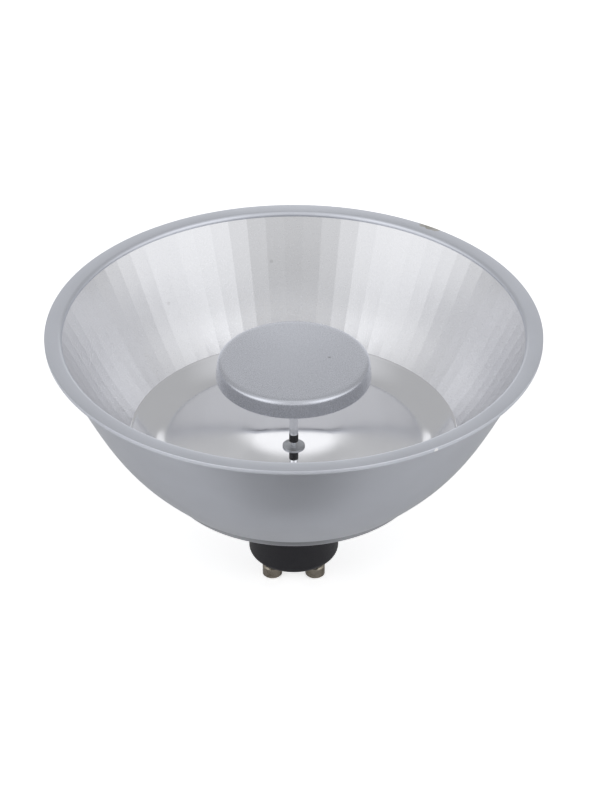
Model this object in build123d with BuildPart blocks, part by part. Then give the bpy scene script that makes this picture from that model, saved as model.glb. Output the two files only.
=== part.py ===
"""Spot bulb with an open faceted reflector, a centre glare cap and a two-pin twist-lock base."""

from build123d import *

import os

# Overall height: the seating face of the base is at zero and the pins reach below it
rim_height = 61.0

# Outer bowl: each taper is the step inwards from the level above
rim_radius = 55.5
rim_width = 3.9
rim_thickness = 1.0
rim_edge_round = 0.3
rim_overhang = 1.6
bowl_upper_taper = 4.4
bowl_upper_depth = 10.0
bowl_middle_taper = 5.05
bowl_middle_depth = 20.0
bowl_seam_taper = 5.1
seam_depth = 27.6
bowl_edge_taper = 7.05
bowl_skirt = 7.6
bowl_wall = 1.0
bowl_floor_margin = 2.9

# Faceted reflector inside the bowl
facet_count = 72
reflector_gap = 0.45
reflector_wall = 0.6

# Mirror dish below the seam
dish_sink = 4.0
dish_edge_slope = 0.62
dish_knee_sink = 3.0
dish_knee_inset = 8.3
dish_knee_slope = 0.1
dish_flat_inset = 27.3
dish_wall = 0.6
dish_lip_clearance = 0.3

# Glare cap
cap_depth = 8.2
cap_radius = 17.55
cap_height = 4.2
cap_draft = 0.35
cap_wall = 1.0
cap_ceiling = 1.1
cap_edge_round = 1.0

# Light board under the cap
pad_thickness = 0.4
led_board_thickness = 1.0
led_board_clearance = 0.4
led_count = 8
led_ring_radius = 9.5
led_size = 3.2
led_thickness = 0.7

# Stem from the dish to the cap
stem_radius = 1.0
stem_neck_radius = 0.6
stem_tail = 0.6
stem_flange_radius = 2.4
stem_flange_height = 1.4
collar_radius = 1.05
collar_height = 1.9
collar_rise = 1.5
foot_radius = 2.55
foot_thickness = 0.3
nut_width = 3.2
nut_height = 1.2
stem_clearance = 0.03
led_lead_radius = 0.15
led_lead_gap = 0.06
led_lead_clearance = 0.05

# Rear cover below the bowl
cover_step = 2.3
cover_band = 2.8
cover_depth = 11.3
cover_bottom_radius = 14.5
cover_wall = 1.4
cover_edge_round = 0.6
cover_boss_radius = 2.2
cover_boss_overlap = 0.5
screw_count = 3
screw_start_angle = 90
screw_radius = 1.1
screw_tip_gap = 0.2
screw_head_radius = 2.0
screw_head_height = 1.2
screw_clearance = 0.05

# Driver board on its shelf in the rear cover
board_margin = 2.3
board_thickness = 1.2
board_drop = 7.0
board_clearance = 0.3
shelf_width = 2.0

# Base and end plate
base_radius = 10.4
base_wall = 1.5
base_round = 1.7
base_flange_radius = 12.4
base_flange_thickness = 1.5
base_clearance = 0.1
plate_step = 0.3
plate_lip_thickness = 1.2
plate_lip_width = 0.7
plate_flange_thickness = 1.1
plate_clearance = 0.1

# Contact pins, to the twist-lock base's ten millimetre spacing
pin_spacing = 10.0
pin_length = 7.0
pin_head_radius = 2.3
pin_head_length = 3.0
pin_neck_radius = 1.5
pin_rivet_radius = 2.1
pin_rivet_height = 0.6
pin_chamfer = 0.35
pin_clearance = 0.05
input_lead_radius = 0.6

# Parts on the driver board, on a ring inside its edge
parts_margin = 7.0
coil_length = 6.2
coil_height = 5.2
core_length = 10.0
core_width = 10.0
core_height = 3.9
core_limb_width = 3.4
core_window_width = 2.2
core_clearance = 0.1
film_length = 9.0
film_width = 4.0
film_height = 5.0
film_edge_round = 0.5
rectifier_length = 4.8
rectifier_width = 4.0
rectifier_height = 2.4
chip_length = 5.0
chip_width = 4.0
chip_height = 1.6
fuse_radius = 1.4
fuse_length = 5.0
fuse_angle = -45

# Tall parts that hang from the driver board, each with its share of the room down to the rivets
hanging_edge_gap = 0.4
bulk_radius = 4.0
bulk_share = 0.7
bulk_edge_round = 0.5
choke_radius = 3.2
choke_share = 0.45
choke_groove = 0.6
choke_rim = 1.0


def level(depth: float) -> float:
    """Height of a point that lies this far below the rim."""
    return rim_height - depth


def bowl_curve(inset: float, last_depth: float) -> list[tuple[float, float]]:
    """Points of the bowl's side, moved inwards by the inset and ended at the last depth."""
    stations = [
        (bowl_top_radius, rim_thickness),
        (bowl_upper_radius, bowl_upper_depth),
        (bowl_middle_radius, bowl_middle_depth),
        (bowl_seam_radius, seam_depth),
        (bowl_edge_radius, bowl_depth),
    ]
    return [(radius - inset, level(depth)) for radius, depth in stations if depth <= last_depth]


# Radii of the bowl's side, from the rim down
bowl_top_radius = rim_radius - rim_overhang
bowl_upper_radius = bowl_top_radius - bowl_upper_taper
bowl_middle_radius = bowl_upper_radius - bowl_middle_taper
bowl_seam_radius = bowl_middle_radius - bowl_seam_taper
bowl_edge_radius = bowl_seam_radius - bowl_edge_taper
bowl_depth = seam_depth + bowl_skirt
reflector_inset = bowl_wall + reflector_gap + reflector_wall

# Heights and places that several pieces share
seam_level = level(seam_depth)
dish_level = seam_level - dish_sink
knee_level = seam_level - dish_knee_sink
bowl_foot = level(bowl_depth)
bowl_floor = bowl_foot + bowl_wall
cap_level = level(cap_depth)
cap_underside = cap_level - cap_ceiling
board_face = cap_underside - pad_thickness - led_board_thickness
collar_foot = dish_level + collar_rise
collar_top = collar_foot + collar_height
nut_foot = dish_level - dish_wall - nut_height
cover_radius = bowl_edge_radius - cover_step
cover_foot = bowl_foot - cover_depth
cover_floor = cover_foot + cover_wall
screw_ring = cover_radius - cover_wall - cover_boss_radius + cover_boss_overlap
screw_length = bowl_wall + cover_band - screw_tip_gap
cover_slope = (cover_radius - cover_bottom_radius) / (cover_depth - cover_band)
board_radius = cover_bottom_radius + cover_slope * (cover_depth - board_drop) - board_margin
parts_ring = board_radius - parts_margin
driver_foot = bowl_foot - board_drop
driver_top = driver_foot + board_thickness
base_bore = base_radius - base_wall
plate_bore = base_bore - plate_lip_width
plate_shoulder = plate_step + plate_lip_thickness
plate_top = plate_shoulder + plate_flange_thickness
rivet_top = plate_top + pin_rivet_height
bulk_length = bulk_share * (driver_foot - rivet_top)
choke_length = choke_share * (driver_foot - rivet_top)
neck_hole_radius = stem_neck_radius + stem_clearance
led_lead_offset = led_lead_radius + led_lead_gap / 2
stem_bore_radius = led_lead_offset + led_lead_radius + led_lead_clearance
pin_places = [(pin_spacing / 2, 0), (-pin_spacing / 2, 0)]
on_floor = (Align.CENTER, Align.CENTER, Align.MIN)
under_ceiling = (Align.CENTER, Align.CENTER, Align.MAX)

os.makedirs("parts", exist_ok=True)

# Outer bowl: a spun shell with a rim flange, and a floor ring for the rear cover
with BuildPart() as outer_bowl:
    with BuildSketch(Plane.XZ):
        with BuildLine():
            side = Spline(*bowl_curve(0, bowl_depth))
            Polyline(
                side @ 1,
                (0, bowl_foot),
                (0, rim_height),
                (rim_radius, rim_height),
                (rim_radius, level(rim_thickness)),
                side @ 0,
            )
        make_face()
    revolve(axis=Axis.Z)
    with BuildSketch(Plane.XZ):
        with BuildLine():
            inside = Spline(*bowl_curve(bowl_wall, bowl_depth))
            Polyline(inside @ 1, (0, bowl_foot), (0, level(rim_thickness)), inside @ 0)
        make_face()
        with Locations((0, bowl_foot)):
            Rectangle(2 * bowl_edge_radius, 2 * bowl_wall, mode=Mode.SUBTRACT)
    revolve(axis=Axis.Z, mode=Mode.SUBTRACT)
    with Locations((0, 0, level(rim_thickness))):
        Cylinder(rim_radius - rim_width, rim_thickness, align=on_floor, mode=Mode.SUBTRACT)
    with Locations((0, 0, bowl_foot)):
        Cylinder(
            screw_ring - screw_head_radius - bowl_floor_margin, bowl_wall, align=on_floor, mode=Mode.SUBTRACT
        )
        with PolarLocations(screw_ring, screw_count, start_angle=screw_start_angle):
            Cylinder(screw_radius + screw_clearance, bowl_wall, align=on_floor, mode=Mode.SUBTRACT)
    rim_edges = outer_bowl.edges().filter_by(GeomType.CIRCLE).sort_by(SortBy.RADIUS)[-2:]
    fillet(rim_edges, rim_edge_round)
outer_bowl.part.label = "outer_bowl"
export_step(outer_bowl.part, "parts/outer_bowl.step")

# Faceted reflector: many-sided sections lofted down to the seam, cut from a thin round shell
with BuildPart() as facet_reflector:
    with BuildSketch(Plane.XZ):
        with BuildLine():
            back = Spline(*bowl_curve(reflector_inset - reflector_wall, seam_depth))
            Polyline(back @ 1, (0, seam_level), (0, level(rim_thickness)), back @ 0)
        make_face()
    revolve(axis=Axis.Z)
    for facet_radius, facet_level in bowl_curve(reflector_inset, seam_depth):
        with BuildSketch(Plane.XY.offset(facet_level)):
            RegularPolygon(facet_radius, facet_count, major_radius=False, rotation=180 / facet_count)
    loft(mode=Mode.SUBTRACT)
facet_reflector.part.label = "facet_reflector"
export_step(facet_reflector.part, "parts/facet_reflector.step")

# Mirror dish: a shallow pan with a flat middle and a raised lip, held between reflector and bowl
dish_edge_radius = bowl_seam_radius - reflector_inset
dish_lip_radius = bowl_seam_radius - bowl_wall - dish_lip_clearance
dish_knee_radius = dish_edge_radius - dish_knee_inset
dish_flat_radius = dish_edge_radius - dish_flat_inset
with BuildPart() as mirror_dish:
    with BuildSketch(Plane.XZ):
        with BuildLine():
            lip = Spline(
                (dish_edge_radius, seam_level),
                (dish_knee_radius, knee_level),
                tangents=[(-1, -dish_edge_slope), (-1, -dish_knee_slope)],
            )
            pan = Spline(
                (dish_knee_radius, knee_level),
                (dish_flat_radius, dish_level),
                tangents=[(-1, -dish_knee_slope), (-1, 0)],
            )
            lip_back = Spline(
                (dish_lip_radius - dish_wall, seam_level - dish_wall),
                (dish_knee_radius, knee_level - dish_wall),
                tangents=[(-1, -dish_edge_slope), (-1, -dish_knee_slope)],
            )
            underside = Spline(
                (dish_knee_radius, knee_level - dish_wall),
                (dish_flat_radius, dish_level - dish_wall),
                tangents=[(-1, -dish_knee_slope), (-1, 0)],
            )
            Polyline(lip @ 0, (dish_lip_radius, seam_level), lip_back @ 0)
            Polyline(pan @ 1, (0, dish_level), (0, dish_level - dish_wall), underside @ 1)
        make_face()
    revolve(axis=Axis.Z)
    with Locations((0, 0, dish_level)):
        Cylinder(neck_hole_radius, dish_wall, align=under_ceiling, mode=Mode.SUBTRACT)
mirror_dish.part.label = "mirror_dish"
export_step(mirror_dish.part, "parts/mirror_dish.step")

# Glare cap: a shallow cup, open side down, with a soft upper edge
with BuildPart() as glare_cap:
    with BuildSketch(Plane.XZ):
        with BuildLine():
            Polyline(
                (0, cap_level),
                (cap_radius - cap_draft, cap_level),
                (cap_radius, cap_level - cap_height),
                (cap_radius - cap_wall, cap_level - cap_height),
                (cap_radius - cap_wall, cap_underside),
                (0, cap_underside),
                close=True,
            )
        make_face()
    revolve(axis=Axis.Z)
    cap_edge = glare_cap.edges().filter_by(GeomType.CIRCLE).group_by(Axis.Z)[-1]
    fillet(cap_edge, cap_edge_round)
glare_cap.part.label = "glare_cap"
export_step(glare_cap.part, "parts/glare_cap.step")

# Thermal pad, light board and light packages, stacked downwards from the cap
led_board_radius = cap_radius - cap_wall - led_board_clearance
with BuildPart() as thermal_pad:
    with Locations((0, 0, cap_underside)):
        Cylinder(led_board_radius, pad_thickness, align=under_ceiling)
thermal_pad.part.label = "thermal_pad"
export_step(thermal_pad.part, "parts/thermal_pad.step")

with BuildPart() as led_board:
    with Locations((0, 0, cap_underside - pad_thickness)):
        Cylinder(led_board_radius, led_board_thickness, align=under_ceiling)
led_board.part.label = "led_board"
export_step(led_board.part, "parts/led_board.step")

with BuildPart() as led_chips:
    with Locations((0, 0, board_face)):
        with PolarLocations(led_ring_radius, led_count):
            Box(led_size, led_size, led_thickness, align=under_ceiling)
led_chips.part.label = "led_chips"
export_step(led_chips.part, "parts/led_chips.step")

# Stem: a polished tube with a slim neck that passes through collar, disc, dish and nut
with BuildPart() as cap_stem:
    with Locations((0, 0, collar_top)):
        Cylinder(stem_radius, board_face - collar_top, align=on_floor)
    with Locations((0, 0, nut_foot - stem_tail)):
        Cylinder(stem_neck_radius, collar_top - nut_foot + stem_tail, align=on_floor)
        Cylinder(stem_bore_radius, board_face - nut_foot + stem_tail, align=on_floor, mode=Mode.SUBTRACT)
cap_stem.part.label = "cap_stem"
export_step(cap_stem.part, "parts/cap_stem.step")

with BuildPart() as stem_flange:
    with Locations((0, 0, board_face)):
        Cylinder(stem_flange_radius, stem_flange_height, align=under_ceiling)
        Cylinder(
            stem_radius + stem_clearance, stem_flange_height, align=under_ceiling, mode=Mode.SUBTRACT
        )
stem_flange.part.label = "stem_flange"
export_step(stem_flange.part, "parts/stem_flange.step")

with BuildPart() as stem_collar:
    with Locations((0, 0, collar_foot)):
        Cylinder(collar_radius, collar_height, align=on_floor)
        Cylinder(neck_hole_radius, collar_height, align=on_floor, mode=Mode.SUBTRACT)
stem_collar.part.label = "stem_collar"
export_step(stem_collar.part, "parts/stem_collar.step")

with BuildPart() as foot_disc:
    with Locations((0, 0, dish_level)):
        Cylinder(foot_radius, foot_thickness, align=on_floor)
        Cylinder(neck_hole_radius, foot_thickness, align=on_floor, mode=Mode.SUBTRACT)
foot_disc.part.label = "foot_disc"
export_step(foot_disc.part, "parts/foot_disc.step")

with BuildPart() as stem_nut:
    with BuildSketch(Plane.XY.offset(nut_foot)):
        RegularPolygon(nut_width / 2, 6, major_radius=False)
        Circle(neck_hole_radius, mode=Mode.SUBTRACT)
    extrude(amount=nut_height)
stem_nut.part.label = "stem_nut"
export_step(stem_nut.part, "parts/stem_nut.step")

with BuildPart() as led_leads:
    with BuildSketch(Plane.XY.offset(driver_top)):
        with Locations((led_lead_offset, 0), (-led_lead_offset, 0)):
            Circle(led_lead_radius)
    extrude(amount=board_face - driver_top)
led_leads.part.label = "led_leads"
export_step(led_leads.part, "parts/led_leads.step")

# Rear cover: a banded cone with a shelf for the driver board and bosses for the screws
with BuildPart() as rear_cover:
    with BuildSketch(Plane.XZ):
        with BuildLine():
            Polyline(
                (0, bowl_foot),
                (cover_radius, bowl_foot),
                (cover_radius, bowl_foot - cover_band),
                (cover_bottom_radius, cover_foot),
                (0, cover_foot),
                close=True,
            )
        make_face()
    revolve(axis=Axis.Z)
    band_edge = rear_cover.edges().filter_by(GeomType.CIRCLE).group_by(SortBy.RADIUS)[-1]
    fillet(band_edge.sort_by(Axis.Z)[0], cover_edge_round)
    with BuildSketch(Plane.XZ):
        with BuildLine():
            Polyline(
                (0, bowl_foot),
                (cover_radius - cover_wall, bowl_foot),
                (cover_radius - cover_wall, bowl_foot - cover_band),
                (board_radius + board_clearance, driver_foot),
                (board_radius - shelf_width, driver_foot),
                (base_flange_radius + board_clearance, cover_floor),
                (0, cover_floor),
                close=True,
            )
        make_face()
    revolve(axis=Axis.Z, mode=Mode.SUBTRACT)
    with Locations((0, 0, cover_floor)):
        Cylinder(base_radius + base_clearance, cover_wall, align=under_ceiling, mode=Mode.SUBTRACT)
    with Locations((0, 0, bowl_foot)):
        with PolarLocations(screw_ring, screw_count, start_angle=screw_start_angle):
            Cylinder(cover_boss_radius, cover_band, align=under_ceiling)
            Cylinder(screw_radius + screw_clearance, cover_band, align=under_ceiling, mode=Mode.SUBTRACT)
rear_cover.part.label = "rear_cover"
export_step(rear_cover.part, "parts/rear_cover.step")

with BuildPart() as cover_screws:
    with Locations((0, 0, bowl_floor)):
        with PolarLocations(screw_ring, screw_count, start_angle=screw_start_angle):
            Cylinder(screw_head_radius, screw_head_height, align=on_floor)
            Cylinder(screw_radius, screw_length, align=under_ceiling)
cover_screws.part.label = "cover_screws"
export_step(cover_screws.part, "parts/cover_screws.step")

# Base: a black cup that hangs by its flange in the rear cover, with a lip for the end plate
with BuildPart() as base_shell:
    with Locations((0, 0, plate_step)):
        Cylinder(base_radius, cover_floor - plate_step, align=on_floor)
    fillet(base_shell.edges().group_by(Axis.Z)[0], base_round)
    with Locations((0, 0, cover_floor)):
        Cylinder(base_flange_radius, base_flange_thickness, align=on_floor)
    with Locations((0, 0, plate_shoulder)):
        Cylinder(
            base_bore,
            cover_floor + base_flange_thickness - plate_shoulder,
            align=on_floor,
            mode=Mode.SUBTRACT,
        )
        Cylinder(plate_bore, plate_lip_thickness, align=under_ceiling, mode=Mode.SUBTRACT)
base_shell.part.label = "base_shell"
export_step(base_shell.part, "parts/base_shell.step")

with BuildPart() as base_plate:
    Cylinder(plate_bore - plate_clearance, plate_shoulder, align=on_floor)
    with Locations((0, 0, plate_shoulder)):
        Cylinder(base_bore - plate_clearance, plate_flange_thickness, align=on_floor)
    with Locations(*pin_places):
        Cylinder(pin_neck_radius + pin_clearance, plate_top, align=on_floor, mode=Mode.SUBTRACT)
base_plate.part.label = "base_plate"
export_step(base_plate.part, "parts/base_plate.step")

# Contact pins: a neck through the plate, a broad head below it and a rivet head above it
with BuildPart() as contact_pins:
    with BuildSketch(Plane.XY.offset(-pin_length)):
        with Locations(*pin_places):
            Circle(pin_head_radius)
    extrude(amount=pin_head_length)
    for head_edges in contact_pins.edges().filter_by(GeomType.CIRCLE).group_by(Axis.Z):
        chamfer(head_edges, pin_chamfer)
    with BuildSketch(Plane.XY.offset(-pin_length + pin_head_length)):
        with Locations(*pin_places):
            Circle(pin_neck_radius)
    extrude(amount=pin_length - pin_head_length + plate_top)
    with BuildSketch(Plane.XY.offset(plate_top)):
        with Locations(*pin_places):
            Circle(pin_rivet_radius)
    extrude(amount=pin_rivet_height)
contact_pins.part.label = "contact_pins"
export_step(contact_pins.part, "parts/contact_pins.step")

with BuildPart() as input_leads:
    with BuildSketch(Plane.XY.offset(rivet_top)):
        with Locations(*pin_places):
            Circle(input_lead_radius)
    extrude(amount=driver_foot - rivet_top)
input_leads.part.label = "input_leads"
export_step(input_leads.part, "parts/input_leads.step")

# Driver board and the parts on its upper face
with BuildPart() as driver_board:
    with Locations((0, 0, driver_foot)):
        Cylinder(board_radius, board_thickness, align=on_floor)
driver_board.part.label = "driver_board"
export_step(driver_board.part, "parts/driver_board.step")

transformer_centre = (0, parts_ring, driver_top + coil_height / 2)
with BuildPart() as transformer_coil:
    with Locations(transformer_centre):
        Box(core_limb_width + 2 * (core_window_width - core_clearance), coil_length, coil_height)
        Box(
            core_limb_width + 2 * core_clearance,
            coil_length,
            core_height + 2 * core_clearance,
            mode=Mode.SUBTRACT,
        )
transformer_coil.part.label = "transformer_coil"
export_step(transformer_coil.part, "parts/transformer_coil.step")

with BuildPart() as transformer_core:
    with Locations(transformer_centre):
        Box(core_width, core_length, core_height)
        with GridLocations(core_limb_width + core_window_width, 0, 2, 1):
            Box(core_window_width, coil_length + 2 * core_clearance, core_height, mode=Mode.SUBTRACT)
transformer_core.part.label = "transformer_core"
export_step(transformer_core.part, "parts/transformer_core.step")

with BuildPart() as film_capacitor:
    with Locations((-parts_ring, 0, driver_top)):
        Box(film_width, film_length, film_height, align=on_floor)
    fillet(film_capacitor.edges().filter_by(Axis.Z), film_edge_round)
film_capacitor.part.label = "film_capacitor"
export_step(film_capacitor.part, "parts/film_capacitor.step")

with BuildPart() as bridge_rectifier:
    with Locations((parts_ring, 0, driver_top)):
        Box(rectifier_width, rectifier_length, rectifier_height, align=on_floor)
bridge_rectifier.part.label = "bridge_rectifier"
export_step(bridge_rectifier.part, "parts/bridge_rectifier.step")

with BuildPart() as driver_chip:
    with Locations((0, -parts_ring, driver_top)):
        Box(chip_length, chip_width, chip_height, align=on_floor)
driver_chip.part.label = "driver_chip"
export_step(driver_chip.part, "parts/driver_chip.step")

with BuildPart() as fuse_resistor:
    with Locations((0, 0, driver_top + fuse_radius)):
        with PolarLocations(parts_ring, 1, start_angle=fuse_angle, rotate=False):
            Cylinder(fuse_radius, fuse_length, rotation=(90, 0, 0))
fuse_resistor.part.label = "fuse_resistor"
export_step(fuse_resistor.part, "parts/fuse_resistor.step")

# Tall parts that hang from the board into the base, one on each side of the input leads
with BuildPart() as bulk_capacitor:
    with Locations((0, base_bore - bulk_radius - hanging_edge_gap, driver_foot)):
        Cylinder(bulk_radius, bulk_length, align=under_ceiling)
    fillet(bulk_capacitor.edges().group_by(Axis.Z)[0], bulk_edge_round)
bulk_capacitor.part.label = "bulk_capacitor"
export_step(bulk_capacitor.part, "parts/bulk_capacitor.step")

with BuildPart() as filter_choke:
    with Locations((0, choke_radius + hanging_edge_gap - base_bore, driver_foot)):
        Cylinder(choke_radius - choke_groove, choke_length, align=under_ceiling)
        Cylinder(choke_radius, choke_rim, align=under_ceiling)
        with Locations((0, 0, -choke_length)):
            Cylinder(choke_radius, choke_rim, align=on_floor)
filter_choke.part.label = "filter_choke"
export_step(filter_choke.part, "parts/filter_choke.step")
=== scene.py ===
"""Looks of an open reflector spot bulb: its visible pieces, finishes, light and camera.

Lengths are in millimetres and angles in degrees, unless a line says otherwise.
"""

import logging
import math
from abc import ABC, abstractmethod
from collections.abc import Iterable, Sequence
from dataclasses import dataclass, field
from enum import Enum
from functools import cached_property
from itertools import pairwise

import bpy
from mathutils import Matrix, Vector


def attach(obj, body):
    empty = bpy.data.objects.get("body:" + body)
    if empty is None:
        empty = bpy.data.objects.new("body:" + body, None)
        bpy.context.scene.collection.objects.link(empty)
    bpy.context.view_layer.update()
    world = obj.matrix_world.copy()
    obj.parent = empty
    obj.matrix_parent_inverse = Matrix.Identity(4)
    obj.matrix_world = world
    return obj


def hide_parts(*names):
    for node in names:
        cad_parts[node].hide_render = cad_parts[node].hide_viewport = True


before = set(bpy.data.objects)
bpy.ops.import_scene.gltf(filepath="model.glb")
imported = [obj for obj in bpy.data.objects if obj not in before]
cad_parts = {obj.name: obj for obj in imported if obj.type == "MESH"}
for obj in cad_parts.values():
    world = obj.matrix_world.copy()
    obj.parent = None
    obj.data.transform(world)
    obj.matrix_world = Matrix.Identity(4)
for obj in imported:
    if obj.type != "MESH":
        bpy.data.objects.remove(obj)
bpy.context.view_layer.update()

MM = 0.001
Point = tuple[float, float]
Corner = tuple[float, float, float]  # Radius, height, and a rounding or slope
Colour = tuple[float, float, float]
Place = tuple[float, float, float]
Socket = bpy.types.NodeSocket
Source = Socket | float | Sequence[float]

# Facets of the reflector, and sides of the rings of turned pieces.
FACETS = 72
WIDE_SIDES, MID_SIDES, BASE_SIDES, PIN_SIDES = 288, 240, 192, 64
MATT = 0.9
ORIGIN: Place = (0.0, 0.0, 0.0)
BLACK: Colour = (0.0, 0.0, 0.0)
WHITE: Colour = (1.0, 1.0, 1.0)

# Vector operations that give a number, and inputs of the node that maps ranges.
SCALARS = ("DISTANCE", "DOT_PRODUCT")
SPAN_INPUTS = ("Value", "From Min", "From Max", "To Min", "To Max")

# Stretches of a noise pattern, which lies about 0.5, that finishes use.
WHOLE: Point = (0.0, 1.0)
GRAIN_RANGE: Point = (0.3, 0.7)
CLOUD_RANGE: Point = (0.36, 0.64)
HAZE_RANGE: Point = (0.35, 0.65)
STAIN_RANGE: Point = (0.42, 0.72)
DULL_RANGE: Point = (0.35, 0.7)

log = logging.getLogger("spot_bulb")


class Ends(Enum):
    """How the two ends of a turned profile are closed."""

    LOOP = "the last ring joins the first"
    DISCS = "each end is filled with a flat disc"


class Shading(Enum):
    """Largest angle, in degrees, that is shaded as one smooth surface."""

    ROUND = 32.0
    FACETED = 3.2


class Stance(Enum):
    """How a card is set up in the studio: its turn about the left to right axis, in degrees."""

    LYING = 0.0
    STANDING = 90.0


class NodeSheet:
    """Node tree of a finish or of the world, with short calls that add and join its nodes."""

    def __init__(self, owner: bpy.types.Material | bpy.types.World) -> None:
        """Opens the node tree of a new material or world.

        Args:
            owner: The material or world.
        """
        owner.use_nodes = True
        self.owner = owner
        self.nodes = owner.node_tree.nodes
        self.links = owner.node_tree.links

    def feed(self, target: Socket, value: Source) -> None:
        """Joins a socket to a target, or sets the target's own value.

        Args:
            target: Input socket.
            value: Output socket, or the value itself; a colour has no alpha.
        """
        if isinstance(value, bpy.types.NodeSocket):
            self.links.new(value, target)
        elif target.type == "RGBA":
            target.default_value = (*value, 1.0)
        else:
            target.default_value = value

    def add(self, kind: str, inputs: dict[str | int, Source], **settings: str) -> bpy.types.Node:
        """Adds a node.

        Args:
            kind: Kind of node.
            inputs: Socket or value for each input, by the input's name or number.
            settings: Choices of the node itself.

        Returns:
            The node.
        """
        node = self.nodes.new(f"ShaderNode{kind}")
        for name, choice in settings.items():
            setattr(node, name, choice)
        for key, value in inputs.items():
            self.feed(node.inputs[key], value)
        return node

    def math(self, operation: str, first: Source, second: Source = 0.0) -> Socket:
        """Result of an operation on one or two numbers."""
        return self.add("Math", {0: first, 1: second}, operation=operation).outputs[0]

    def vector(self, operation: str, first: Source, second: Source) -> Socket:
        """Result of an operation on two vectors: a number for a product or a distance."""
        node = self.add("VectorMath", {0: first, 1: second}, operation=operation)
        return node.outputs["Value" if operation in SCALARS else "Vector"]

    def span(self, value: Socket, known: Sequence[float], wanted: Sequence[float]) -> Socket:
        """Maps a value smoothly from the range that it has to a wanted range."""
        inputs = dict(zip(SPAN_INPUTS, (value, *known, *wanted)))
        return self.add("MapRange", inputs, interpolation_type="SMOOTHSTEP").outputs["Result"]

    def average(self, first: Socket, second: Socket, share: float = 0.5) -> Socket:
        """Average of two patterns by the weight of the first; the second has the rest."""
        rest = self.math("MULTIPLY", second, 1.0 - share)
        return self.math("ADD", self.math("MULTIPLY", first, share), rest)


class FinishSheet(NodeSheet):
    """Node tree of one finish, whose patterns follow the object's own coordinates."""

    def __init__(self, name: str) -> None:
        """Starts a material of a given name."""
        super().__init__(bpy.data.materials.new(name))
        self.shader = self.nodes["Principled BSDF"]

    @cached_property
    def place(self) -> Socket:
        """The object's own coordinates."""
        return self.add("TexCoord", {}).outputs["Object"]

    def surface(self, values: dict[str, Source]) -> None:
        """Sets or joins inputs of the shader, by their names."""
        for name, value in values.items():
            self.feed(self.shader.inputs[name], value)

    def shine(self, colour: Colour, strength: Source) -> None:
        """Makes the surface matt, and lets it give off white light of some strength."""
        self.surface({"Base Color": colour, "Roughness": MATT, "Specular IOR Level": 0.0})
        self.surface({"Emission Color": WHITE, "Emission Strength": strength})

    def scaled(self, scale: Place) -> Socket:
        """The object's coordinates, stretched by a factor along each axis."""
        return self.add("Mapping", {"Vector": self.place, "Scale": scale}).outputs[0]

    def noise(self, size: float, detail: float = 2.0, vector: Socket | None = None) -> Socket:
        """Noise about 0.5 with grains of some size, on the object's own coordinates or others."""
        inputs = {"Vector": vector or self.place, "Scale": 1.0 / (size * MM), "Detail": detail}
        return self.add("TexNoise", inputs).outputs["Fac"]

    def blend(self, share: Socket, first: Source, second: Source) -> Socket:
        """Mixes two colours by the share of the second, in the node's sockets for colours."""
        return self.add("Mix", {0: share, 6: first, 7: second}, data_type="RGBA").outputs[2]

    def relief(self, height: Socket, depth: float) -> None:
        """Raises the surface by a pattern from 0 to 1, up to a depth."""
        bump = self.add("Bump", {"Strength": 1.0, "Distance": depth * MM, "Height": height})
        self.surface({"Normal": bump.outputs["Normal"]})

    def radius(self) -> Socket:
        """Distance from the object's upright axis."""
        return self.vector("DISTANCE", self.scaled((1.0, 1.0, 0.0)), ORIGIN)

    def around(self) -> Socket:
        """Adds the angle round the bulb's axis.

        Returns:
            The angle in turns from -0.5 to 0.5, with 0 at the front.
        """
        parts = self.add("SeparateXYZ", {0: self.place}).outputs
        angle = self.math("ARCTAN2", parts["X"], self.math("MULTIPLY", parts["Y"], -1.0))
        return self.math("DIVIDE", angle, 2.0 * math.pi)


@dataclass(frozen=True)
class Mark:
    """A small mark on a finish, such as a chip or a speck."""

    place: Place  # Centre
    size: Place  # Half lengths along each axis
    colour: Colour  # Colour inside the mark
    ragged: float = 0.35  # How far the edge wanders, as a share of the size
    grain: float = 0.45  # Size of the wandering, as a share of the size
    # Where the mark starts to fade and where it ends, as shares of the size
    edge: Point = (0.8, 1.05)

    def mask(self, sheet: FinishSheet) -> Socket:
        """Share of the mark at each point of the surface.

        Args:
            sheet: Node tree of the finish.

        Returns:
            1 inside the mark and 0 outside it.
        """
        offset = sheet.vector("SUBTRACT", sheet.place, [value * MM for value in self.place])
        shares = sheet.vector("DIVIDE", offset, [value * MM for value in self.size])
        grain = sheet.noise(self.grain * max(self.size), detail=3.0)
        wander = sheet.math("MULTIPLY", grain, 2.0 * self.ragged)
        wander = sheet.math("SUBTRACT", wander, self.ragged)
        reach = sheet.math("ADD", sheet.vector("DISTANCE", shares, ORIGIN), wander)
        return sheet.span(reach, self.edge, (1.0, 0.0))


@dataclass(frozen=True)
class Finish(ABC):
    """A finish of one or more pieces."""

    name: str
    colour: Colour
    roughness: float  # How matt it is

    @abstractmethod
    def paint(self, sheet: FinishSheet) -> None:
        """Adds the patterns of the finish.

        Args:
            sheet: Node tree of the finish.
        """

    def make(self) -> bpy.types.Material:
        """Builds the material.

        Returns:
            The material.
        """
        sheet = FinishSheet(self.name)
        self.paint(sheet)
        return sheet.owner

    def shades(self, spread: float) -> list[Colour]:
        """A darker and a lighter shade of the main colour."""
        factors = (1.0 - spread, 1.0 + spread)
        return [tuple(min(1.0, factor * value) for value in self.colour) for factor in factors]

    def matt(self, spread: float) -> Point:
        """Least and most roughness, for a given spread to either side."""
        return self.roughness - spread, min(1.0, self.roughness + spread)


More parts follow.
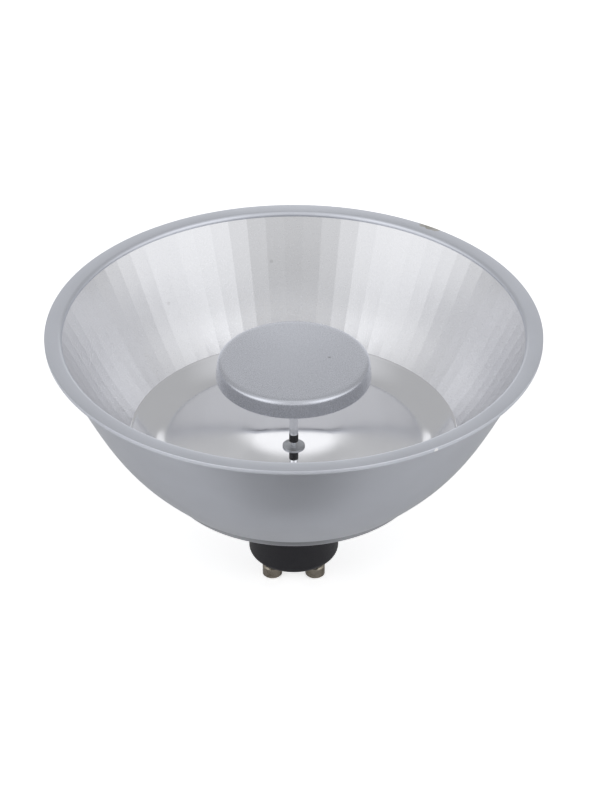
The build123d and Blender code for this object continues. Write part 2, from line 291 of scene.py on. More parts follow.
@dataclass(frozen=True)
class Lacquer(Finish):
    """Silver lacquer over metal, with fine flakes, faint clouds and a few marks."""

    flake: float = 0.16  # Size of a flake
    flake_depth: float = 0.0008  # Relief of the flakes
    flake_share: float = 0.55  # Weight of the flakes in the tone; the clouds have the rest
    cloud: float = 14.0  # Size of a cloud
    spread: float = 0.03  # How far the tones differ
    rough_spread: float = 0.04  # How far the roughness differs
    marks: tuple[Mark, ...] = ()  # Chips and specks in the lacquer
    worn: float = 0.25  # Roughness that a mark adds

    def paint(self, sheet: FinishSheet) -> None:
        """Adds the flakes, the clouds and the marks.

        Args:
            sheet: Node tree of the finish.
        """
        flakes = sheet.noise(self.flake, detail=3.0)
        tone = sheet.average(flakes, sheet.noise(self.cloud), self.flake_share)
        share = sheet.span(tone, CLOUD_RANGE, WHOLE)
        colour = sheet.blend(share, *self.shades(self.spread))
        rough = sheet.span(flakes, GRAIN_RANGE, self.matt(self.rough_spread))
        for mark in self.marks:
            mask = mark.mask(sheet)
            colour = sheet.blend(mask, colour, mark.colour)
            rough = sheet.math("ADD", rough, sheet.math("MULTIPLY", mask, self.worn))
        sheet.surface({"Base Color": colour, "Metallic": 1.0, "Roughness": rough})
        sheet.relief(flakes, self.flake_depth)


@dataclass(frozen=True)
class SatinFacets(Finish):
    """Satin anodised facets: fine turning lines, a grain, and a tone of its own on each facet."""

    count: int = FACETS
    spread: float = 0.028  # How far the tones differ
    rough_spread: float = 0.03  # How far the roughness differs
    line: float = 0.35  # Width of a turning line
    line_scale: Place = (0.15, 0.15, 1.0)  # Stretch that draws the lines out round the axis
    grain: float = 0.22  # Size of the grain
    depth: float = 0.004  # Relief of the lines and the grain
    specks: tuple[Mark, ...] = ()  # Dark specks in the surface

    def paint(self, sheet: FinishSheet) -> None:
        """Adds the facets' tones, the lines, the grain and the specks.

        Args:
            sheet: Node tree of the finish.
        """
        turns = sheet.math("MULTIPLY", sheet.around(), float(self.count))
        # A facet's number is the nearest whole one, since facet 0 lies about angle 0.
        number = sheet.math("FLOOR", sheet.math("ADD", turns, 0.5))
        chance = sheet.add("TexWhiteNoise", {"W": number}, noise_dimensions="1D")
        lines = sheet.noise(self.line, vector=sheet.scaled(self.line_scale))
        grain = sheet.noise(self.grain)
        tone = sheet.average(lines, grain)
        share = sheet.average(chance.outputs["Value"], tone)
        colour = sheet.blend(share, *self.shades(self.spread))
        for speck in self.specks:
            colour = sheet.blend(speck.mask(sheet), colour, speck.colour)
        rough = sheet.span(grain, GRAIN_RANGE, self.matt(self.rough_spread))
        sheet.surface({"Base Color": colour, "Metallic": 1.0, "Roughness": rough})
        sheet.relief(tone, self.depth)


@dataclass(frozen=True)
class Polish(Finish):
    """Polished metal with a breath of haze and hair-fine rubbing marks."""

    haze: float = 0.02  # How far the haze varies
    bright: float = 10.0  # Radius of the best polished middle
    fade: float = 1.8  # Where the polish is at its dullest, in radii of that middle
    dull: float = 0.0  # Extra haze outside that middle
    cloud: float = 6.0  # Size of a cloud of haze
    cloud_share: float = 0.7  # Weight of the clouds in the haze; the rubbing marks have the rest
    hair: float = 0.3  # Width of a rubbing mark
    hair_scale: Place = (1.0, 0.08, 1.0)  # Stretch that draws the rubbing marks out
    spread: float = 0.04  # How much darker the clouds are

    def paint(self, sheet: FinishSheet) -> None:
        """Adds the haze and the rubbing marks.

        Args:
            sheet: Node tree of the finish.
        """
        clouds = sheet.noise(self.cloud, detail=3.0)
        hairs = sheet.noise(self.hair, vector=sheet.scaled(self.hair_scale))
        share = sheet.average(clouds, hairs, self.cloud_share)
        rough = sheet.span(share, HAZE_RANGE, (self.roughness, self.roughness + self.haze))
        ring = (self.bright * MM, self.fade * self.bright * MM)
        outer = sheet.span(sheet.radius(), ring, (0.0, self.dull))
        rough = sheet.math("ADD", rough, outer)
        darker, _ = self.shades(self.spread)
        colour = sheet.blend(clouds, darker, self.colour)
        sheet.surface({"Base Color": colour, "Metallic": 1.0, "Roughness": rough})


@dataclass(frozen=True)
class Plating(Finish):
    """Plated turned metal: rings left by turning, and duller stains between them."""

    stain: Colour  # Colour of the stains
    stain_size: float = 1.6  # Size of a stain
    stain_rough: float = 0.15  # Roughness that a stain adds
    ring: float = 0.25  # Width of a ring
    ring_scale: Place = (0.1, 0.1, 1.0)  # Stretch that draws the rings out round the axis
    ring_depth: float = 0.006  # Relief of the rings

    def paint(self, sheet: FinishSheet) -> None:
        """Adds the rings and the stains.

        Args:
            sheet: Node tree of the finish.
        """
        rings = sheet.noise(self.ring, vector=sheet.scaled(self.ring_scale))
        stains = sheet.noise(self.stain_size, detail=4.0)
        colour = sheet.blend(sheet.span(stains, STAIN_RANGE, WHOLE), self.colour, self.stain)
        duller = (self.roughness, self.roughness + self.stain_rough)
        rough = sheet.span(stains, DULL_RANGE, duller)
        sheet.surface({"Base Color": colour, "Metallic": 1.0, "Roughness": rough})
        sheet.relief(rings, self.ring_depth)


@dataclass(frozen=True)
class Moulding(Finish):
    """Moulded or coated material with a fine skin and faint clouds."""

    grain: float = 0.3  # Size of the skin's grain
    grain_depth: float = 0.01  # Relief of the grain
    cloud: float = 4.0  # Size of a cloud
    spread: float = 0.15  # How far the tones differ
    rough_spread: float = 0.06  # How far the roughness differs

    def paint(self, sheet: FinishSheet) -> None:
        """Adds the skin and the clouds.

        Args:
            sheet: Node tree of the finish.
        """
        skin = sheet.noise(self.grain, detail=3.0)
        colour = sheet.blend(sheet.noise(self.cloud), *self.shades(self.spread))
        rough = sheet.span(skin, GRAIN_RANGE, self.matt(self.rough_spread))
        sheet.surface({"Base Color": colour, "Roughness": rough})
        sheet.relief(skin, self.grain_depth)


def natural_curve(points: Sequence[Point], count: int) -> list[Point]:
    """Smooth curve through a few points, with straight free ends.

    Args:
        points: Points of radius and height.
        count: Number of points to give back.

    Returns:
        Points along the curve.
    """
    knots = [0.0]
    for first, second in pairwise(points):
        knots.append(knots[-1] + math.dist(first, second))
    gaps = [b - a for a, b in pairwise(knots)]
    # Second derivatives at the knots, from the usual sweep down and back up.
    bends = []
    for axis in (0, 1):
        values = [point[axis] for point in points]
        slopes = [(b - a) / gap for (a, b), gap in zip(pairwise(values), gaps)]
        upper, right = [0.0], [0.0]
        for k in range(1, len(values) - 1):
            pivot = 2.0 * (gaps[k - 1] + gaps[k]) - gaps[k - 1] * upper[-1]
            right.append((6.0 * (slopes[k] - slopes[k - 1]) - gaps[k - 1] * right[-1]) / pivot)
            upper.append(gaps[k] / pivot)
        solved = [0.0] * len(values)
        for k in range(len(values) - 2, 0, -1):
            solved[k] = right[k] - upper[k] * solved[k + 1]
        bends.append(solved)
    found = []
    for step in range(count):
        at = knots[-1] * step / (count - 1)
        k = min(sum(knot <= at for knot in knots) - 1, len(gaps) - 1)
        gap = gaps[k]
        a, b = (knots[k + 1] - at) / gap, (at - knots[k]) / gap
        found.append(
            tuple(
                a * points[k][axis]
                + b * points[k + 1][axis]
                + ((a**3 - a) * bends[axis][k] + (b**3 - b) * bends[axis][k + 1]) * gap**2 / 6.0
                for axis in (0, 1)
            )
        )
    return found


def soften(corners: Sequence[Corner], steps: int = 5) -> list[Point]:
    """Rounds the corners of a profile.

    Args:
        corners: Radius, height and rounding of each corner.
        steps: Points on each rounded corner, besides its first.

    Returns:
        Points of the rounded profile.
    """
    points: list[Point] = []
    for k, (radius, height, rounding) in enumerate(corners):
        if rounding <= 0.0 or k in (0, len(corners) - 1):
            points.append((radius, height))
            continue
        corner = Vector((radius, height))
        before = (Vector(corners[k - 1][:2]) - corner).normalized()
        after = (Vector(corners[k + 1][:2]) - corner).normalized()
        half = before.angle(after) / 2.0
        setback = rounding / math.tan(half)
        centre = corner + (before + after).normalized() * (rounding / math.sin(half))
        start = corner + before * setback - centre
        end = corner + after * setback - centre
        for step in range(steps + 1):
            arm = start.lerp(end, step / steps).normalized() * rounding
            points.append((centre.x + arm.x, centre.y + arm.y))
    return points


@dataclass(frozen=True)
class Turned:
    """A piece turned round an upright axis from a profile of radius and height."""

    name: str
    profile: Sequence[Point]  # Points of radius and height
    ends: Ends  # How the profile's ends are closed
    sides: int  # Sides of each ring
    phase: float = 0.0  # Turn of the rings
    shading: Shading = Shading.ROUND  # Largest angle that is shaded smooth

    def make(self) -> bpy.types.Object:
        """Extrudes a circle ring by ring and scales each ring to its radius.

        Returns:
            The piece, with its place in its mesh.
        """
        bpy.ops.object.select_all(action="DESELECT")
        radius, height = self.profile[0]
        turn = (0.0, 0.0, math.radians(self.phase))
        bpy.ops.mesh.primitive_circle_add(vertices=self.sides, radius=radius * MM, rotation=turn)
        piece = bpy.context.active_object
        piece.name = piece.data.name = self.name
        bpy.ops.object.transform_apply(location=True, rotation=True, scale=True)
        bpy.ops.object.mode_set(mode="EDIT")
        bpy.ops.mesh.select_mode(type="EDGE")
        bpy.ops.mesh.select_all(action="SELECT")
        bpy.ops.transform.translate(value=(0.0, 0.0, height * MM))
        if self.ends is Ends.DISCS:
            bpy.ops.mesh.edge_face_add()
        for (radius, height), (next_radius, next_height) in pairwise(self.profile):
            rise = (0.0, 0.0, (next_height - height) * MM)
            bpy.ops.mesh.extrude_edges_move(TRANSFORM_OT_translate={"value": rise})
            ratio = next_radius / radius
            centre = (0.0, 0.0, next_height * MM)
            bpy.ops.transform.resize(value=(ratio, ratio, 1.0), center_override=centre)
        if self.ends is Ends.DISCS:
            bpy.ops.mesh.edge_face_add()
        else:
            bpy.ops.mesh.select_all(action="DESELECT")
            bpy.ops.mesh.select_non_manifold(extend=False, use_non_contiguous=False)
            bpy.ops.mesh.bridge_edge_loops()
        bpy.ops.mesh.select_all(action="SELECT")
        bpy.ops.mesh.normals_make_consistent(inside=False)
        bpy.ops.object.mode_set(mode="OBJECT")
        bpy.ops.object.shade_smooth_by_angle(angle=math.radians(self.shading.value))
        return piece


def dress(piece: bpy.types.Object, material: bpy.types.Material) -> None:
    """Gives a piece or a CAD node one material in all its slots.

    Args:
        piece: The piece.
        material: The material.
    """
    slots = piece.data.materials
    if not slots:
        slots.append(material)
    for number in range(len(slots)):
        slots[number] = material


def stand_in(piece: bpy.types.Object, node: str, finish: Finish) -> None:
    """Puts a modelled piece in the place of a CAD node.

    Args:
        piece: The modelled piece.
        node: CAD node that it stands for.
        finish: Its finish.
    """
    dress(piece, finish.make())
    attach(piece, "root")
    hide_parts(node)
    log.info("%s: %d faces stand for %s", piece.name, len(piece.data.polygons), node)


def keep(nodes: Iterable[str], finish: Finish) -> None:
    """Dresses CAD nodes whose own shape stays.

    Args:
        nodes: Names of the nodes.
        finish: Their finish.
    """
    material = finish.make()
    for node in nodes:
        dress(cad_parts[node], material)
        log.info("%s: kept, dressed in %s", node, material.name)


@dataclass(frozen=True)
class BowlSide:
    """Side of the bowl, which the bowl and the reflector share."""

    # Radius and height of the outside, from under the rim down to the rear edge
    stations: tuple[Point, ...] = (
        (53.9, 60.0), (49.5, 51.0), (44.45, 41.0), (39.35, 33.4), (32.3, 25.8)
    )
    seam: int = 3  # Number of the station where the reflector meets the dish

    def curve(self, inset: float, count: int, to_seam: bool = False) -> list[Point]:
        """Points of the side, moved inwards.

        Args:
            inset: Distance inwards.
            count: Number of points.
            to_seam: Whether the curve ends at the seam.

        Returns:
            Points from the top down.
        """
        used = self.stations[: self.seam + 1] if to_seam else self.stations
        return natural_curve([(radius - inset, height) for radius, height in used], count)


@dataclass
class BowlShell:
    """Outer bowl: a spun shell with a flat rim and a floor ring."""

    side: BowlSide
    rim_height: float = 61.0  # Height of the rim's top
    rim_radius: float = 55.5  # Outside of the rim
    rim_width: float = 3.9  # Width of the rim's flat
    rim_edge: float = 0.18  # Rounding of the rim's outer edges
    rim_lip: float = 0.92  # Rounding of the rim's inner edge
    wall: float = 1.0  # Thickness of the metal
    floor_hole: float = 22.0  # Radius of the hole in the floor
    floor_corner: float = 0.4  # Width of the slope between the wall and the floor
    rings: int = 40  # Rings along the wall
    # Silver lacquer with the wear of the rim
    finish: Lacquer = Lacquer(
        "bowl_lacquer",
        (0.615, 0.635, 0.688),
        0.36,
        marks=(
            Mark((30.9, 45.8, 60.8), (1.4, 1.1, 1.0), (0.52, 0.51, 0.49)),
            Mark((32.2, 44.8, 60.8), (1.4, 1.2, 1.0), (0.46, 0.45, 0.42)),
            Mark((33.4, 43.9, 60.8), (1.2, 1.0, 0.9), (0.54, 0.53, 0.51)),
            Mark((29.8, -46.6, 60.4), (0.7, 0.5, 0.45), (0.92, 0.92, 0.93)),
        ),
    )

    def profile(self) -> list[Point]:
        """Section of the shell.

        Returns:
            Points round the section's loop, from the rim's inner edge.
        """
        outside = self.side.curve(0.0, self.rings)
        inside = self.side.curve(self.wall, self.rings)
        under_rim = self.rim_height - self.wall
        foot = outside[-1][1]
        rim = soften(
            [
                (self.rim_radius - self.rim_width, under_rim, 0.0),
                (self.rim_radius - self.rim_width, self.rim_height, self.rim_lip),
                (self.rim_radius, self.rim_height, self.rim_edge),
                (self.rim_radius, under_rim, self.rim_edge),
                outside[0] + (0.0,),
            ]
        )
        lower = [(self.floor_hole, foot), (self.floor_hole, foot + self.wall)]
        upper = [point for point in reversed(inside) if point[1] > foot + self.wall]
        corner = (upper[0][0] - self.floor_corner, foot + self.wall)
        return rim + outside[1:] + lower + [corner] + upper

    def build(self) -> None:
        """Models the bowl and dresses it."""
        piece = Turned("bowl_shell", self.profile(), Ends.LOOP, WIDE_SIDES).make()
        stand_in(piece, "outer_bowl", self.finish)


@dataclass
class FacetReflector:
    """Reflector inside the bowl, with upright facets from the rim to the seam."""

    side: BowlSide
    count: int = FACETS
    inset: float = 2.05  # Distance from the bowl's outside to the facets
    wall: float = 0.6  # Thickness of the metal
    rings: int = 36  # Rings down the facets
    back_rings: int = 12  # Rings up the back
    finish: SatinFacets = SatinFacets(
        "facet_satin",
        (0.733, 0.736, 0.756),
        0.3,
        specks=(
            Mark((-29.4, 34.4, 46.4), (0.5, 0.5, 0.5), (0.66, 0.66, 0.675)),
            Mark((-5.3, 46.9, 50.4), (0.45, 0.45, 0.45), (0.63, 0.63, 0.645)),
        ),
    )

    def profile(self) -> list[Point]:
        """Section of the reflector through an edge between two facets.

        Returns:
            Points down the facets and up the back.
        """
        reach = 1.0 / math.cos(math.pi / self.count)
        front = self.side.curve(self.inset, self.rings, to_seam=True)
        back = self.side.curve(self.inset - self.wall, self.back_rings, to_seam=True)
        return [(radius * reach, height) for radius, height in front] + back[::-1]

    def build(self) -> None:
        """Models the reflector and dresses it."""
        half_facet = 180.0 / self.count
        piece = Turned(
            "facet_ring", self.profile(), Ends.LOOP, self.count, half_facet, Shading.FACETED
        ).make()
        stand_in(piece, "facet_reflector", self.finish)


@dataclass
class MirrorDish:
    """Polished pan below the seam, with a flat middle and a lip under the reflector."""

    edge: Point = (37.3, 33.4)  # Radius and height where the pan meets the reflector
    knee: Point = (29.0, 30.25)  # Radius and height where the pan levels out
    flat: Point = (10.0, 29.4)  # Radius and height where its flat middle starts
    slopes: Point = (0.62, 0.1)  # Slope of the pan at its edge and at its knee
    lip: float = 38.05  # Radius of the lip
    lip_wall: float = 0.2  # Thickness of the lip
    wall: float = 0.6  # Thickness of the metal
    hole: float = 0.63  # Radius of the hole for the stem
    rings: int = 48  # Rings on the polished face
    back_rings: int = 16  # Rings on the underside
    finish: Polish = Polish("dish_mirror", (0.78, 0.785, 0.812), 0.04, bright=9.5, dull=0.045)

    def pan(self, drop: float, count: int) -> list[Point]:
        """Points of the pan from its edge to the flat middle.

        Args:
            drop: Distance below the polished face.
            count: Number of points.

        Returns:
            Points from the edge inwards.
        """
        edge, knee = (*self.edge, self.slopes[0]), (*self.knee, self.slopes[1])
        flat = (*self.flat, 0.0)
        found = []
        for k in range(count):
            radius = edge[0] + (flat[0] - edge[0]) * k / (count - 1)
            ends = (edge, knee) if radius >= knee[0] else (knee, flat)
            found.append((radius, self.hermite(radius, *ends) - drop))
        return found

    @staticmethod
    def hermite(at: float, start: Corner, end: Corner) -> float:
        """Height of a smooth curve between two points with given slopes.

        Args:
            at: Radius of the wanted point.
            start: Radius, height and slope at the start.
            end: Radius, height and slope at the end.

        Returns:
            The height.
        """
        span = end[0] - start[0]
        t = (at - start[0]) / span
        rise = (2 * t**3 - 3 * t**2 + 1) * start[1] + (3 * t**2 - 2 * t**3) * end[1]
        return rise + span * ((t**3 - 2 * t**2 + t) * start[2] + (t**3 - t**2) * end[2])

    def build(self) -> None:
        """Models the dish and dresses it."""
        face = self.pan(0.0, self.rings)
        under = self.pan(self.wall, self.back_rings)
        middle = [(self.hole, self.flat[1]), (self.hole, self.flat[1] - self.wall)]
        lip = [(self.lip, self.edge[1] - self.lip_wall), (self.lip, self.edge[1])]
        profile = face + middle + under[::-1] + lip
        piece = Turned("mirror_pan", profile, Ends.LOOP, WIDE_SIDES).make()
        stand_in(piece, "mirror_dish", self.finish)


@dataclass
class GlareCap:
    """Cap that hides the lights, with the light board under it."""

    top: float = 52.8  # Height of the cap's top
    radius: float = 17.55  # Radius of the cap's foot
    draft: float = 0.35  # How much narrower the top is
    height: float = 4.2  # Height of the cap's side
    wall: float = 1.0  # Thickness of the side
    ceiling: float = 1.1  # Thickness of the top
    edge: float = 1.2  # Rounding of the upper edge
    shoulder: float = 1.6  # Where the upper edge starts, in roundings from the side
    crown: float = 0.12  # How far the top's edge lies below its middle
    foot_edge: float = 0.12  # Rounding of the side's lower edges
    inner_edge: float = 0.2  # Rounding inside, between the side and the ceiling
    ledge: float = 2.0  # Width of the ceiling's outer ring, inside which it is one disc
    rings: int = 12  # Rings across the top
    finish: Lacquer = Lacquer(
        "cap_lacquer",
        (0.59, 0.607, 0.66),
        0.27,
        marks=(Mark((8.0, 1.1, 52.8), (0.4, 0.35, 0.3), (0.42, 0.43, 0.45)),),
    )
    # Finish of each part under the cap
    hidden: dict[str, Moulding] = field(
        default_factory=lambda: {
            "thermal_pad": Moulding("pad_grey", (0.15, 0.16, 0.18), 0.8),
            "led_board": Moulding(
                "light_board_white", (0.80, 0.80, 0.78), 0.4, grain=0.15, grain_depth=0.003
            ),
            "led_chips": Moulding(
                "phosphor_yellow", (0.80, 0.55, 0.08), 0.35, grain=0.1, grain_depth=0.004
            ),
        }
    )

    def crowned(self, radius: float) -> Point:
        """Point of the crowned top at a radius."""
        return radius, self.top - self.crown * (radius / (self.radius - self.draft)) ** 2

    def build(self) -> None:
        """Models the cap, and dresses it and the parts under it."""
        foot = self.top - self.height
        ceiling = self.top - self.ceiling
        reach = self.radius - self.draft
        inside = self.radius - self.wall
        shoulder = reach - self.shoulder * self.edge
        dome = [self.crowned(shoulder * k / self.rings) for k in range(1, self.rings)]
        edge = soften(
            [
                (*self.crowned(shoulder), 0.0),
                (reach, self.top - self.crown, self.edge),
                (self.radius, foot, self.foot_edge),
                (inside, foot, self.foot_edge),
                (inside, ceiling, self.inner_edge),
                (inside - self.ledge, ceiling, 0.0),
            ],
            steps=8,
        )
        piece = Turned("cap_cup", dome + edge, Ends.DISCS, MID_SIDES).make()
        stand_in(piece, "glare_cap", self.finish)
        for node, finish in self.hidden.items():
            keep([node], finish)


@dataclass
class CapStem:
    """Stem that carries the cap over the dish, with its collar and foot."""

    # Tube and its flange
    polish: Polish = Polish("stem_polish", (0.84, 0.85, 0.87), 0.06)
    collar: Moulding = Moulding("collar_black", (0.012, 0.012, 0.015), 0.45)
    foot: Plating = Plating("foot_grey", (0.64, 0.657, 0.69), 0.45, (0.52, 0.537, 0.562))
    # Nut under the dish, and the cover's screws
    zinc: Plating = Plating("zinc_plate", (0.55, 0.55, 0.56), 0.35, (0.42, 0.42, 0.42))
    # Fine wires inside the tube
    enamel: Moulding = Moulding(
        "copper_enamel", (0.45, 0.16, 0.07), 0.35, grain=0.1, grain_depth=0.002
    )

    def build(self) -> None:
        """Dresses the stem's parts."""
        keep(["cap_stem", "stem_flange"], self.polish)
        keep(["stem_collar"], self.collar)
        keep(["foot_disc"], self.foot)
        keep(["stem_nut", "cover_screws"], self.zinc)
        keep(["led_leads"], self.enamel)


@dataclass
class RearHousing:
    """Rear cover, black base and its end plate."""

    top: float = 25.8  # Height where the cover meets the bowl
    cover_radius: float = 30.0  # Radius of the cover's band
    band: float = 2.8  # Height of the band
    cover_foot: float = 14.5  # Height of the cover's lower face
    cover_neck: float = 14.5  # Radius of the cover's lower face
    cover_bore: float = 10.5  # Radius of the hole for the base
    cover_wall: float = 1.4  # Thickness of the cover
    # Rounding of the cover's edges, from its top down to its hole
    cover_edges: tuple[float, ...] = (0.2, 0.6, 0.4, 0.15)
    cone_foot: float = 12.7  # Radius of the cone inside, at its lower end
    shelf: Point = (18.04, 20.34)  # Inner and outer radius of the shelf for the driver's board
    shelf_height: float = 18.8  # Height of that shelf
    base_radius: float = 10.4
    base_foot: float = 0.3  # Height of the base's lower face
    base_round: float = 1.7  # Rounding of the base's lower edge
    base_bore: float = 8.9  # Radius inside the base
    base_mouth: float = 8.2  # Radius of the opening for the end plate
    base_floor: float = 1.5  # Height of the floor inside the base
    flange: Point = (12.4, 1.5)  # Radius and thickness of the flange that hangs in the cover
    flange_edge: float = 0.2  # Rounding of the flange's edges
    cover_finish: Lacquer = Lacquer("cover_lacquer", (0.44, 0.449, 0.475), 0.38)
    base_finish: Moulding = Moulding(
        "base_black", (0.0045, 0.004, 0.0075), 0.5, grain=0.25, grain_depth=0.012
    )
    plate_finish: Moulding = Moulding("plate_grey", (0.42, 0.42, 0.43), 0.5)

    def cover(self) -> None:
        """Models the rear cover."""
        inner = self.cover_radius - self.cover_wall
        band_foot = self.top - self.band
        floor = self.cover_foot + self.cover_wall
        outside = [
            (self.cover_radius, self.top),
            (self.cover_radius, band_foot),
            (self.cover_neck, self.cover_foot),
            (self.cover_bore, self.cover_foot),
        ]
        inside = [
            (self.cover_bore, floor),
            (self.cone_foot, floor),
            *((radius, self.shelf_height) for radius in self.shelf),
            (inner, band_foot),
        ]
        rounded = [(*point, edge) for point, edge in zip(outside, self.cover_edges)]
        sharp = [(*point, 0.0) for point in inside]
        profile = soften([(inner, self.top, 0.0), *rounded, *sharp])
        piece = Turned("cover_cone", profile, Ends.LOOP, MID_SIDES).make()
        stand_in(piece, "rear_cover", self.cover_finish)

    def base(self) -> None:
        """Models the black base and dresses the end plate."""
        seat = self.cover_foot + self.cover_wall
        flange_radius, flange_wall = self.flange
        profile = soften(
            [
                (self.base_mouth, self.base_foot, 0.0),
                (self.base_radius, self.base_foot, self.base_round),
                (self.base_radius, seat, 0.0),
                (flange_radius, seat, self.flange_edge),
                (flange_radius, seat + flange_wall, self.flange_edge),
                (self.base_bore, seat + flange_wall, self.flange_edge),
                (self.base_bore, self.base_floor, 0.0),
                (self.base_mouth, self.base_floor, 0.0),
            ],
            steps=10,
        )
        piece = Turned("base_cup", profile, Ends.LOOP, BASE_SIDES).make()
        stand_in(piece, "base_shell", self.base_finish)
        keep(["base_plate"], self.plate_finish)

    def build(self) -> None:
        """Models the housing."""
        self.cover()
        self.base()


@dataclass
class ContactPins:
    """Two pins with broad heads that lock into the lamp holder."""

    spacing: float = 10.0  # Distance between the pins
    length: float = 7.0  # Length below the base
    head_radius: float = 2.3
    head_length: float = 3.0
    neck_radius: float = 1.5
    chamfer: float = 0.35  # Width of a head's edges
    chamfer_edge: float = 0.12  # Rounding of these edges
    tip: float = 1.2  # Width of the ring round the disc at a head's end
    neck_top: float = 2.6  # Height where the rivet starts
    neck_edge: float = 0.15  # Rounding between a neck and its head
    rivet_radius: float = 2.1
    rivet_top: float = 3.2  # Height of the rivet's top
    rivet_edges: Point = (0.1, 0.2)  # Rounding of the rivet's lower and upper edge
    rivet_ring: float = 0.8  # Width of the ring round the disc on the rivet's top
    finish: Plating = Plating("pin_nickel", (0.33, 0.297, 0.248), 0.22, (0.14, 0.12, 0.092))

    def build(self) -> None:
        """Models one pin, copies it and dresses both."""
        shoulder = self.head_length - self.length
        flat = self.head_radius - self.chamfer
        profile = soften(
            [
                (self.head_radius - self.tip, -self.length, 0.0),
                (flat, -self.length, self.chamfer_edge),
                (self.head_radius, self.chamfer - self.length, self.chamfer_edge),
                (self.head_radius, shoulder - self.chamfer, self.chamfer_edge),
                (flat, shoulder, self.chamfer_edge),
                (self.neck_radius, shoulder, self.neck_edge),
                (self.neck_radius, self.neck_top, 0.0),
                (self.rivet_radius, self.neck_top, self.rivet_edges[0]),
                (self.rivet_radius, self.rivet_top, self.rivet_edges[1]),
                (self.rivet_radius - self.rivet_ring, self.rivet_top, 0.0),
            ],
            steps=4,
        )
        piece = Turned("lock_pins", profile, Ends.DISCS, PIN_SIDES).make()
        bpy.ops.object.mode_set(mode="EDIT")
        bpy.ops.mesh.select_all(action="SELECT")
        bpy.ops.transform.translate(value=(0.5 * self.spacing * MM, 0.0, 0.0))
        apart = (-self.spacing * MM, 0.0, 0.0)
        bpy.ops.mesh.duplicate_move(TRANSFORM_OT_translate={"value": apart})
        bpy.ops.object.mode_set(mode="OBJECT")
        stand_in(piece, "contact_pins", self.finish)


@dataclass
class Driver:
    """Hidden driver: its board and the parts on it, each in a plain finish."""

    # Finish of each CAD node
    finishes: dict[str, Moulding] = field(
        default_factory=lambda: {
            "driver_board": Moulding("board_green", (0.02, 0.12, 0.04), 0.4),
            "input_leads": Moulding("lead_red", (0.35, 0.02, 0.015), 0.4),
            "transformer_coil": Moulding("coil_tape", (0.62, 0.40, 0.05), 0.35),
            "transformer_core": Moulding("ferrite_grey", (0.03, 0.03, 0.033), 0.55),
            "filter_choke": Moulding("ferrite_dark", (0.025, 0.025, 0.028), 0.5),
            "film_capacitor": Moulding("film_red", (0.33, 0.03, 0.02), 0.3),
            "bridge_rectifier": Moulding("package_black", (0.015, 0.015, 0.015), 0.5),
            "driver_chip": Moulding("chip_black", (0.012, 0.012, 0.013), 0.45),
            "fuse_resistor": Moulding("fuse_blue", (0.09, 0.2, 0.3), 0.4),
            "bulk_capacitor": Moulding("sleeve_dark", (0.02, 0.02, 0.035), 0.3),
        }
    )

    def build(self) -> None:
        """Dresses the driver's nodes."""
        for node, finish in self.finishes.items():
            keep([node], finish)


@dataclass(frozen=True)
class Glow:
    """A soft patch of light in the surroundings."""

    azimuth: float  # Degrees from the camera's side, to the right
    elevation: float  # Degrees above the rim's plane
    core: float  # Half angle of its even middle
    reach: float  # Half angle where it ends
    level: float  # Brightness that it adds

    def direction(self) -> Vector:
        """Direction of the patch.

        Returns:
            A vector of length 1 from the bulb to the patch.
        """
        turn, lift = math.radians(self.azimuth), math.radians(self.elevation)
        level = Vector((math.sin(turn), -math.cos(turn), 0.0))
        return level * math.cos(lift) + Vector((0.0, 0.0, math.sin(lift)))


@dataclass(frozen=True)
class Card:
    """A card with soft edges in the studio, which only reflections show: a dark one is painted
    shade in them, a bright one a painted highlight.
    """

    name: str
    stance: Stance  # Whether it lies or stands
    place: Place  # Middle
    size: Point  # Half width, and half depth or half height
    core: float  # Share of its size that covers evenly
    cover: float  # How much its middle covers, from 0 to 1
    level: float  # Brightness of its face

    def build(self) -> None:
        """Sets up the card."""
        middle = [value * MM for value in self.place]
        turn = (math.radians(self.stance.value), 0.0, 0.0)
        # The plane reaches from -1 to 1, so its scale is half its size.
        bpy.ops.mesh.primitive_plane_add(size=2.0, location=middle, rotation=turn)
        card = bpy.context.active_object
        card.name = self.name
        card.scale = (self.size[0] * MM, self.size[1] * MM, 1.0)
        card.visible_camera = card.visible_diffuse = card.visible_shadow = False
        sheet = FinishSheet(self.name)
        sheet.shine(BLACK, self.level)
        fade = sheet.span(sheet.radius(), (self.core, 1.0), (self.cover, 0.0))
        sheet.surface({"Alpha": fade})
        dress(card, sheet.owner)


